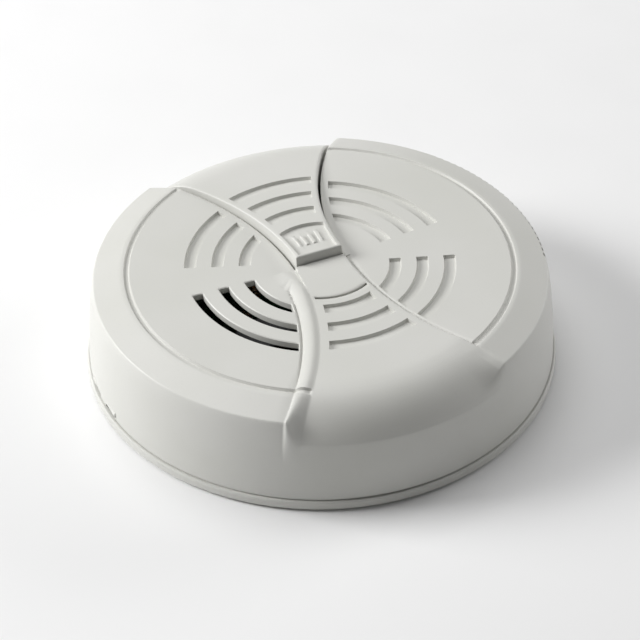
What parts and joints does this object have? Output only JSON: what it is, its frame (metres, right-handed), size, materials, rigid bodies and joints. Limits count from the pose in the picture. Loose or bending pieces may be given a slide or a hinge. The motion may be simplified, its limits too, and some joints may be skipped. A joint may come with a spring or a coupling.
{
  "type": "carbon monoxide detector",
  "caption": "Round battery alarm with a hinged vented cover, a long test lever, a base tray with keyholes, a gas cell, a horn and a battery inside.",
  "frame": {"origin": "centre of the flat mounting face of the base tray", "axes": "+Z out of the mounting face towards the front cover, +Y along the test lever, +X towards the cover's grip; the cover hinges at -X"},
  "size_m": [0.13, 0.13, 0.0336],
  "materials": {
    "housing_plastic": "satin moulded, light warm grey",
    "circuit_board": "green solder mask",
    "black_plastic": "moulded, fine grain",
    "steel": "plated, satin",
    "brass": "rolled sheet",
    "ceramic": "silvered, matte",
    "led_epoxy": "clear tinted epoxy",
    "coil": "enamelled winding on a dark core",
    "capacitor_sleeve": "shrink sleeve",
    "resistor_body": "lacquered",
    "switch_plunger": "moulded",
    "battery_jacket": "printed metal jacket, unmarked"
  },
  "bodies": {
    "base": {"base_tray": "housing_plastic", "circuit_board": "circuit_board", "board_screw_1": "steel", "board_screw_2": "steel", "board_screw_3": "steel", "sensor_can": "steel", "sensor_cap": "black_plastic", "sensor_pin_1": "brass", "sensor_pin_2": "brass", "sensor_pin_3": "brass", "horn_housing": "black_plastic", "horn_disc": "brass", "horn_ceramic": "ceramic", "horn_contact_1": "steel", "horn_contact_2": "steel", "horn_contact_3": "steel", "test_switch_body": "black_plastic", "led_lens": "led_epoxy", "led_lead_1": "steel", "led_lead_2": "steel", "microcontroller": "black_plastic", "horn_transformer": "coil", "capacitor_1": "capacitor_sleeve", "capacitor_2": "capacitor_sleeve", "resistor_1": "resistor_body", "resistor_2": "resistor_body", "resistor_3": "resistor_body", "resistor_4": "resistor_body", "battery_body": "battery_jacket", "battery_terminal_positive": "steel", "battery_terminal_negative": "steel", "battery_contact_positive": "steel", "battery_contact_negative": "steel"},
    "cover": {"front_cover": "housing_plastic"},
    "lever": {"test_lever": "housing_plastic"},
    "plunger": {"test_switch_plunger": "switch_plunger"}
  },
  "joints": [
    {"name": "cover_hinge", "type": "hinge", "parent": "base", "child": "cover", "pos_m": [-0.06326, 0, 0.0049], "axis": [0, -1, 0], "range_deg": [0, 95]},
    {"name": "lever_pivot", "type": "hinge", "parent": "cover", "child": "lever", "pos_m": [0, 0.046, 0.0251], "axis": [1, 0, 0], "range_deg": [0, 1.8], "stiffness_Nm_per_rad": 3, "springref_deg": -0.57},
    {"name": "plunger_slide", "type": "slide", "parent": "base", "child": "plunger", "axis": [0, 0, -1], "range_m": [0, 0.00125]}
  ],
  "couplings": [
    {"joint": "plunger_slide", "follows": "lever_pivot", "m_per_rad": 0.038}
  ]
}
